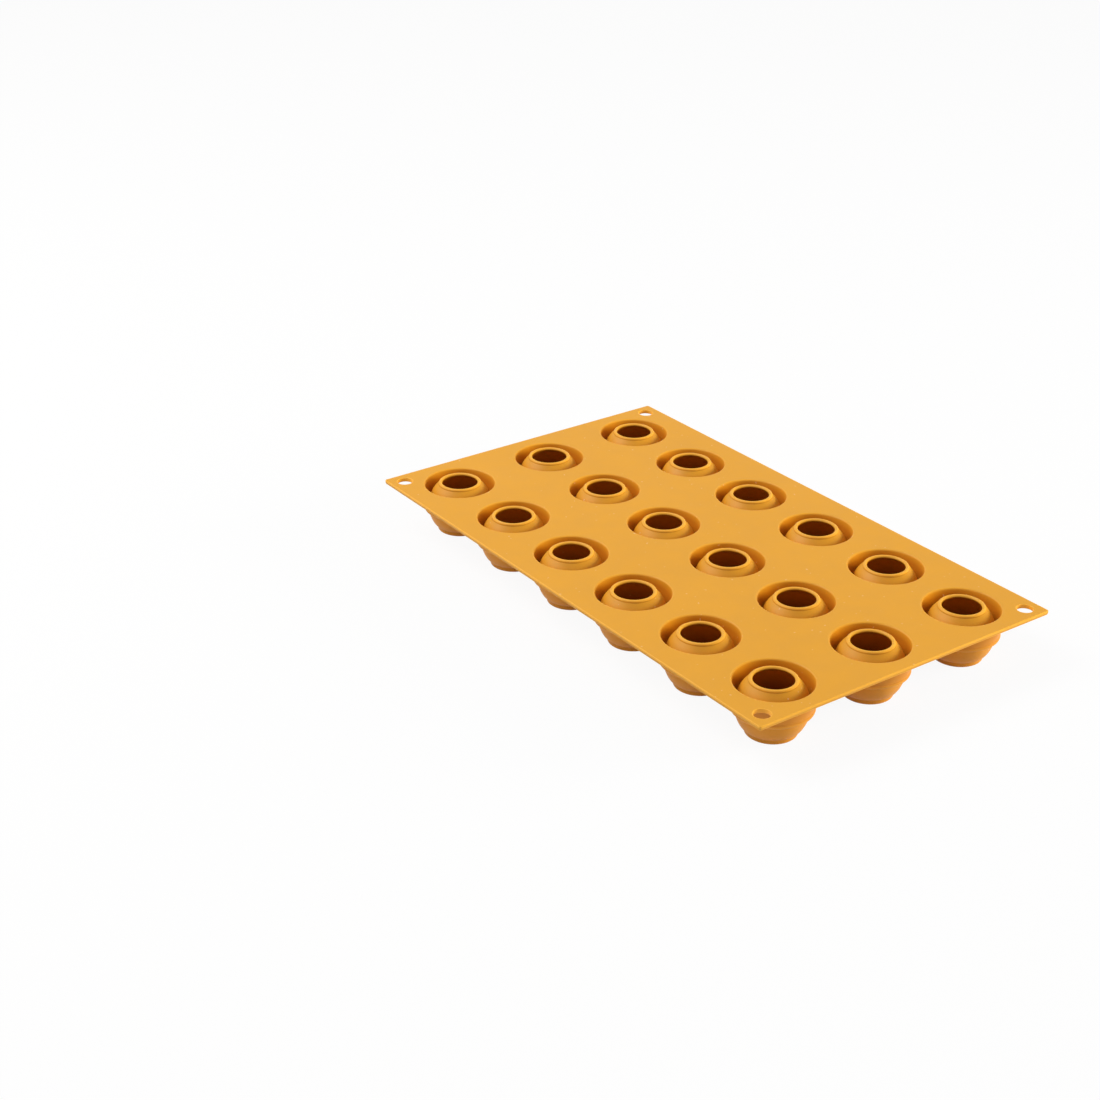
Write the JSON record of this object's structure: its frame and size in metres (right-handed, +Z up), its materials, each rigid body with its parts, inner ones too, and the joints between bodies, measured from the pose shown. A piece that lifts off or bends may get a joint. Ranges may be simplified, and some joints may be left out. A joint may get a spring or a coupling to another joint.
{
  "type": "silicone baking mould",
  "caption": "Flat rectangular silicone mould with a grid of round cavities, each a near-full ball that opens through a raised ring lip, standing on ring-footed cups.",
  "frame": {"origin": "centre of the sheet's outline, on the plane that the feet stand on", "axes": "+X across the sheet along its short side, +Y along its long side, +Z up out of the cavities"},
  "size_m": [0.175, 0.3, 0.0266],
  "materials": {
    "silicone": "satin, opaque mustard-orange silicone with a fine even grain"
  },
  "bodies": {
    "root": {"tomato_mould": "silicone"}
  },
  "joints": []
}
